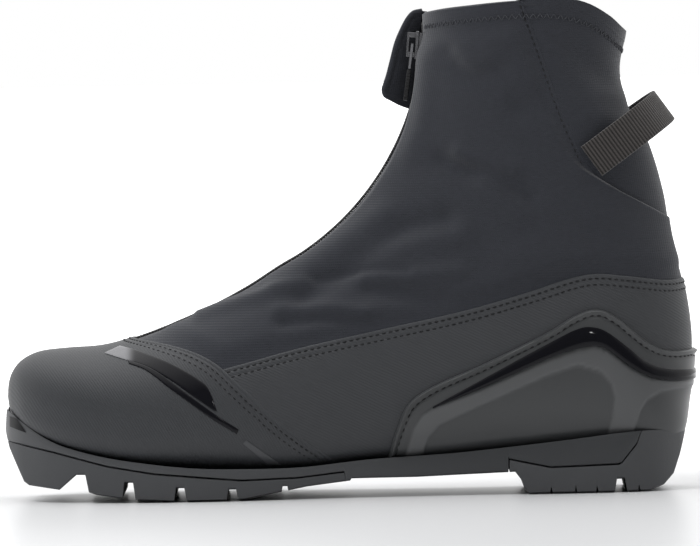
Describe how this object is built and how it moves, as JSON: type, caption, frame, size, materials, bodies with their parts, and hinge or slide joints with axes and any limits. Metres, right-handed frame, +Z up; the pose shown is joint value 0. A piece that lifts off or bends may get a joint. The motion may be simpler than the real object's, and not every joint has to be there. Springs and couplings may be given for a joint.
{
  "type": "cross country ski boot",
  "caption": "Ankle-high touring ski boot, left foot: soft zipped cover over a laced throat, moulded heel counter and treaded sole with a toe bar.",
  "frame": {"origin": "on the ground under the middle of the boot's bounding box", "axes": "+X towards the heel, -X towards the toe, +Z up, -Y to the boot's outer side (a left boot)"},
  "size_m": [0.2982, 0.1035, 0.2099],
  "materials": {
    "softshell": "stretch woven, matt",
    "synthetic_leather": "fine diagonal grain, satin",
    "moulded_counter": "moulded, satin",
    "gloss_film": "high gloss",
    "sole_band": "moulded, satin",
    "tread_rubber": "moulded, matt",
    "webbing": "ribbed webbing",
    "lining": "brushed knit over foam",
    "facing": "smooth",
    "lace_cord": "braided",
    "board": "fibre board",
    "footbed": "felt over foam",
    "stiffener": "thermoplastic sheet",
    "zip_coil": "coil and woven tape",
    "zip_metal": "dark plated",
    "grip": "moulded",
    "steel": "ground"
  },
  "bodies": {
    "boot": {"collar_hem": "softshell", "collar_panel_rear": "softshell", "eyelet_inner_1": "zip_metal", "eyelet_inner_2": "zip_metal", "eyelet_inner_3": "zip_metal", "eyelet_inner_4": "zip_metal", "eyelet_inner_5": "zip_metal", "eyelet_outer_1": "zip_metal", "eyelet_outer_2": "zip_metal", "eyelet_outer_3": "zip_metal", "eyelet_outer_4": "zip_metal", "eyelet_outer_5": "zip_metal", "footbed": "footbed", "heel_counter": "moulded_counter", "heel_counter_inlay": "gloss_film", "heel_stiffener": "stiffener", "lace": "lace_cord", "lace_facing_inner": "facing", "lace_facing_outer": "facing", "lasting_board": "board", "lining_vamp": "lining", "lining_outer": "lining", "lining_inner": "lining", "quarter_inner": "synthetic_leather", "quarter_outer": "synthetic_leather", "shank": "steel", "sole_band": "sole_band", "toe_bar": "steel", "toe_cap": "synthetic_leather", "toe_cap_film": "gloss_film", "toe_puff": "stiffener", "tongue": "lining", "tread_front": "tread_rubber", "tread_heel": "tread_rubber", "zip_chain_inner": "zip_coil", "zip_chain_outer": "zip_coil", "zip_cover_inner": "softshell", "zip_cover_outer": "softshell", "zip_tape_inner": "zip_coil", "zip_tape_outer": "zip_coil"},
    "zip_slider": {"zip_slider": "zip_metal"},
    "zip_puller": {"zip_puller": "zip_metal", "zip_puller_grip": "grip"},
    "zip_flap": {"zip_flap": "softshell"},
    "pull_loop": {"pull_loop": "webbing"}
  },
  "joints": [
    {"name": "zip_travel", "type": "hinge", "parent": "boot", "child": "zip_slider", "pos_m": [-0.0836, 0, 0.2019], "axis": [0, 1, 0], "range_deg": [0, 50]},
    {"name": "puller_lift", "type": "hinge", "parent": "zip_slider", "child": "zip_puller", "pos_m": [0.02862, 0, 0.19208], "axis": [0, 1, 0], "range_deg": [0, 155]},
    {"name": "flap_turn", "type": "hinge", "parent": "boot", "child": "zip_flap", "pos_m": [0.0274, 0.0115, 0.166], "axis": [0.1461, 0, 0.9893], "range_deg": [-120, 1]},
    {"name": "pull_loop_bend", "type": "hinge", "parent": "boot", "child": "pull_loop", "pos_m": [0.1038, 0, 0.1411], "axis": [0, 1, 0], "range_deg": [-20, 25], "stiffness_Nm_per_rad": 0.05}
  ]
}
